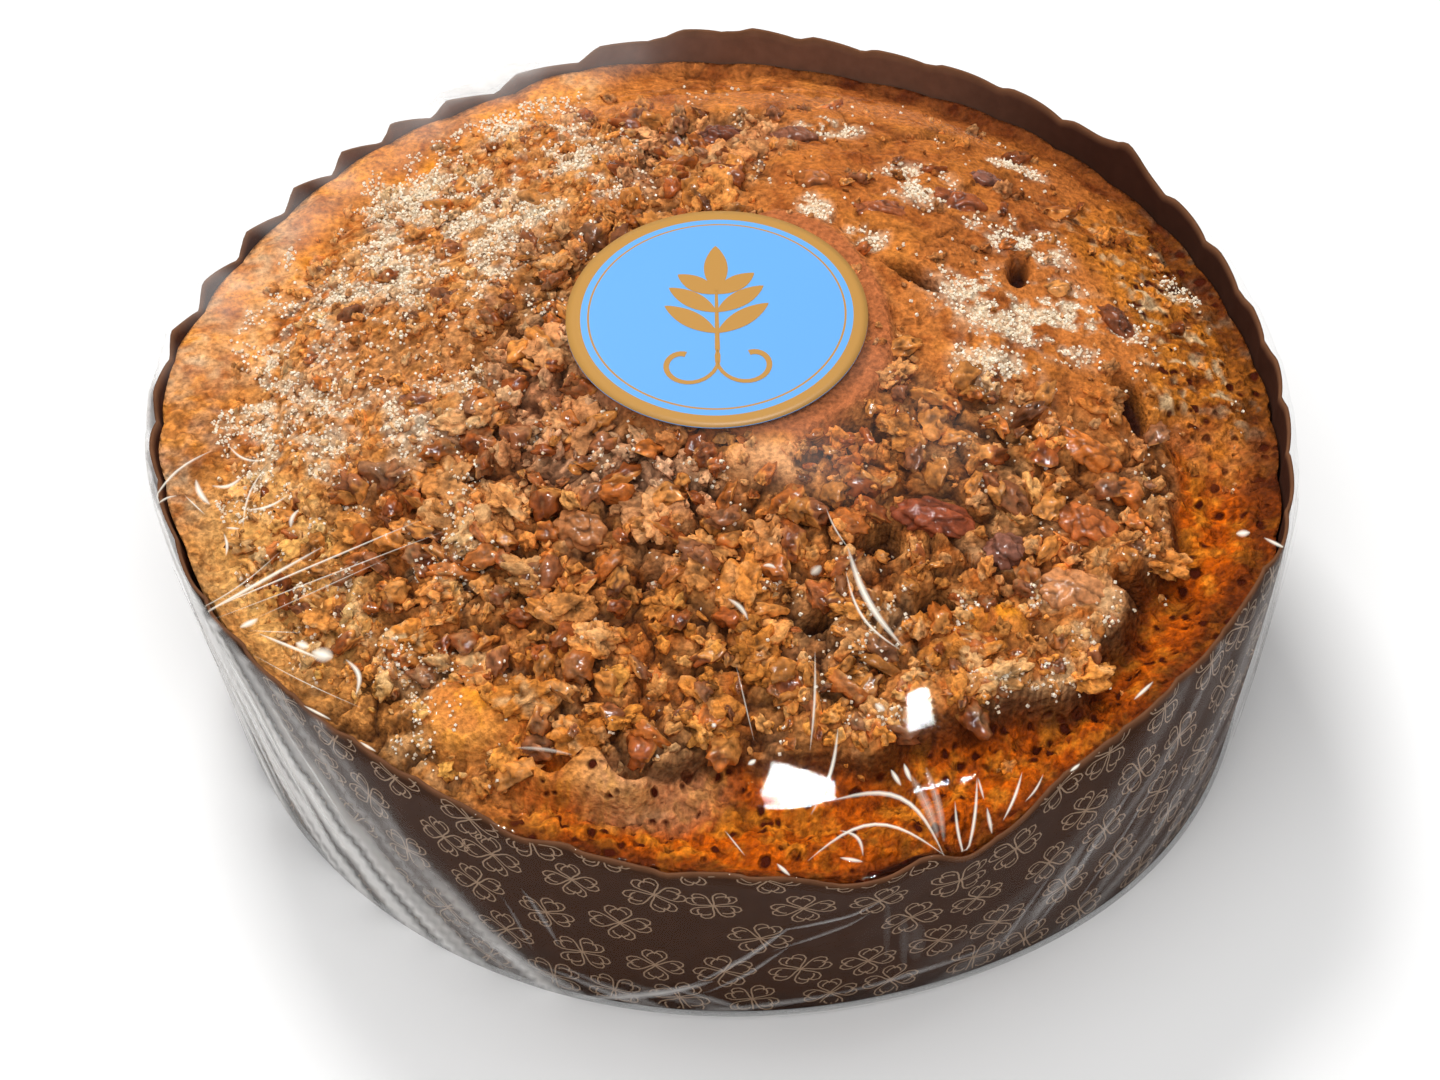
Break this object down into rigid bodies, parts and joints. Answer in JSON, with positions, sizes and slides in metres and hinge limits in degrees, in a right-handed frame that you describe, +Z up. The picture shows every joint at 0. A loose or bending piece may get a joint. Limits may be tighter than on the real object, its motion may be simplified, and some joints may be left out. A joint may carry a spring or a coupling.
{
  "type": "walnut cake in a paper case",
  "caption": "Round walnut cake with a lumpy nut and sugar crust, baked in a fluted brown paper case and wrapped in clear film with a round blue label.",
  "frame": {"origin": "under the middle of the outline, on the surface that the cake stands on", "axes": "+Z up, -Y towards the side shown in front, +X to its right"},
  "size_m": [0.2018, 0.2062, 0.07],
  "materials": {
    "crust": "matte, rough baked crust with nuts, crumbs and sugar",
    "walnut": "satin, lobed nut pieces",
    "case_paper": "matte brown paper with a thin tan line pattern",
    "film": "clear and glossy, with creases",
    "label": "coated paper, sky blue with gold lines"
  },
  "bodies": {
    "root": {"cake": "crust", "film": "film", "label": "label", "paper_case": "case_paper", "walnut_01": "walnut", "walnut_02": "walnut", "walnut_03": "walnut", "walnut_04": "walnut", "walnut_05": "walnut", "walnut_06": "walnut", "walnut_07": "walnut", "walnut_08": "walnut", "walnut_09": "walnut", "walnut_10": "walnut", "walnut_11": "walnut", "walnut_12": "walnut"}
  },
  "joints": []
}
